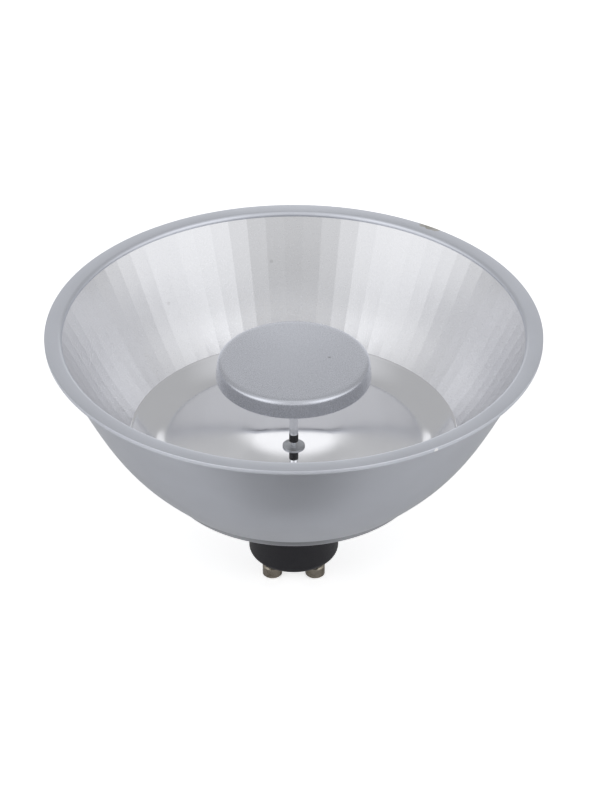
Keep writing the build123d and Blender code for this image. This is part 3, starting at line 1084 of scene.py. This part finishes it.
@dataclass
class Studio:
    """Camera, lamps, floor and surroundings."""

    aim: Place = (0.0, 0.0, 44.0)  # Point that the camera looks at
    distance: float = 680.0  # Distance of the camera
    elevation: float = 33.43  # Height of the camera above the rim's plane
    lens: float = 138.07  # Focal length
    sensor: float = 36.0  # Long side of the camera's frame
    shift: float = 0.00096  # Sideways shift of the frame
    clip: Point = (0.01, 20.0)  # Nearest and farthest distance that the camera sees, in metres
    floor: float = -7.0  # Height of the floor
    floor_size: float = 6.0  # Length of the floor's sides in metres
    floor_colour: Colour = (0.74, 0.74, 0.74)
    room_colour: Colour = (0.985, 0.99, 1.0)  # Tint of the surroundings
    dim: float = 0.213  # Brightness of the surroundings away from the glows
    # Soft patches of light: two at each side, front, overhead and behind
    glows: tuple[Glow, ...] = (
        Glow(-60.0, 10.0, 15.0, 54.0, 1.08),
        Glow(60.0, 10.0, 15.0, 54.0, 1.08),
        Glow(-50.0, 50.0, 8.0, 26.0, 1.0),
        Glow(50.0, 50.0, 8.0, 26.0, 1.0),
        Glow(0.0, 37.0, 4.0, 22.0, 0.6),
        Glow(0.0, 90.0, 8.0, 38.0, 0.52),
        Glow(180.0, 0.0, 12.0, 38.0, 1.0),
    )
    lamp: float = 0.5  # Brightness of each soft lamp's face
    lamp_size: Point = (0.75, 0.8)  # Width and height of each soft lamp in metres
    floor_lift: float = 0.64  # What the floor gains to the eye
    metal_share: float = 0.4  # Share of the white background that metal sees
    # Cards that only reflections show: painted shade on the floor under the bulb and before it,
    # and a painted highlight behind it
    cards: tuple[Card, ...] = (
        # Painted shade: a faint dark disc under the bulb and a darker patch before it, which only
        # the metal's reflections show
        Card("painted_shade_under", Stance.LYING, (0.0, 0.0, -6.6), (165.0, 165.0), 0.3, 0.34, 0.03),
        Card("painted_shade_front", Stance.LYING, (0.0, -93.0, -6.2), (70.0, 58.0), 0.45, 0.62, 0.03),
        # Painted highlight: a glowing strip behind the bulb that lights nothing and shows only in
        # reflections, as the bright lobes in the dish
        Card("painted_highlight_behind", Stance.STANDING, (0.0, 140.0, 122.5), (16.0, 7.5), 0.6, 1.0, 1.22),
    )

    def camera(self) -> None:
        """Adds the camera at the photograph's angle."""
        lift = math.radians(self.elevation)
        back = Vector((0.0, -math.cos(lift), math.sin(lift)))
        bpy.ops.object.camera_add(location=(Vector(self.aim) + back * self.distance) * MM)
        camera = bpy.context.active_object
        camera.name = "camera"
        camera.rotation_mode = "QUATERNION"
        camera.rotation_quaternion = (-back).to_track_quat("-Z", "Y")
        camera.data.lens = self.lens
        camera.data.sensor_width = self.sensor
        camera.data.shift_x = self.shift
        camera.data.clip_start, camera.data.clip_end = self.clip
        bpy.context.scene.camera = camera

    def soft_lamp(self, name: str, glow: Glow) -> None:
        """Adds a large soft lamp that faces the bulb; metal sees a glow in its place.

        Args:
            name: Name of the lamp.
            glow: Patch of the surroundings that the lamp makes.
        """
        away = glow.direction()
        bpy.ops.object.light_add(type="AREA", location=Vector(self.aim) * MM + away)
        lamp = bpy.context.active_object
        lamp.name = name
        lamp.rotation_mode = "QUATERNION"
        lamp.rotation_quaternion = (-away).to_track_quat("-Z", "Y")
        lamp.data.shape = "RECTANGLE"
        lamp.data.size, lamp.data.size_y = self.lamp_size
        lamp.data.energy = self.lamp * math.pi * math.prod(self.lamp_size)
        lamp.visible_glossy = False

    def seen_white(self, sheet: NodeSheet) -> Socket:
        """Adds nodes that tell how much of the white background a ray sees.

        Args:
            sheet: Node tree of the world or of the floor.

        Returns:
            1 for the eye and through glass, and the metal's share for reflections.
        """
        ray = sheet.add("LightPath", {}).outputs
        straight = sheet.math("MAXIMUM", ray["Is Camera Ray"], ray["Is Transmission Ray"])
        mirrored = sheet.math("MULTIPLY", ray["Is Glossy Ray"], self.metal_share)
        return sheet.math("ADD", mirrored, straight)

    def surroundings(self) -> None:
        """Makes the world white to the eye, and elsewhere a dim room with soft glows."""
        world = bpy.data.worlds.new("surroundings")
        bpy.context.scene.world = world
        sheet = NodeSheet(world)
        direction = sheet.add("TexCoord", {}).outputs["Generated"]
        total: Source = self.dim
        for glow in self.glows:
            towards = sheet.vector("DOT_PRODUCT", direction, glow.direction())
            ring = [math.cos(math.radians(angle)) for angle in (glow.reach, glow.core)]
            total = sheet.math("ADD", sheet.span(towards, ring, (0.0, glow.level)), total)
        white = sheet.nodes["Background"]
        sheet.feed(white.inputs["Color"], WHITE)
        room = sheet.add("Background", {"Color": self.room_colour, "Strength": total})
        inputs = (self.seen_white(sheet), room.outputs[0], white.outputs[0])
        either = sheet.add("MixShader", dict(enumerate(inputs)))
        sheet.feed(sheet.nodes["World Output"].inputs["Surface"], either.outputs[0])

    def ground(self) -> None:
        """Adds the pale floor under the pins."""
        place = (0.0, 0.0, self.floor * MM)
        bpy.ops.mesh.primitive_plane_add(size=self.floor_size, location=place)
        floor = bpy.context.active_object
        floor.name = "floor"
        sheet = FinishSheet("floor_white")
        lift = sheet.math("MULTIPLY", self.seen_white(sheet), self.floor_lift)
        sheet.shine(self.floor_colour, lift)
        dress(floor, sheet.owner)

    def build(self) -> None:
        """Sets up the whole studio."""
        bpy.context.scene.view_settings.view_transform = "Standard"
        self.camera()
        self.surroundings()
        self.ground()
        for card in self.cards:
            card.build()
        for name, glow in zip(("lamp_left", "lamp_right"), self.glows):
            self.soft_lamp(name, glow)


def main() -> None:
    """Builds the studio and the bulb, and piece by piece."""
    logging.basicConfig(level=logging.INFO, format="%(message)s")
    side = BowlSide()
    for assembly in (
        Studio(),
        BowlShell(side),
        FacetReflector(side),
        MirrorDish(),
        GlareCap(),
        CapStem(),
        RearHousing(),
        ContactPins(),
        Driver(),
    ):
        assembly.build()
        log.info("%s done", type(assembly).__name__)


if __name__ == "__main__":
    main()
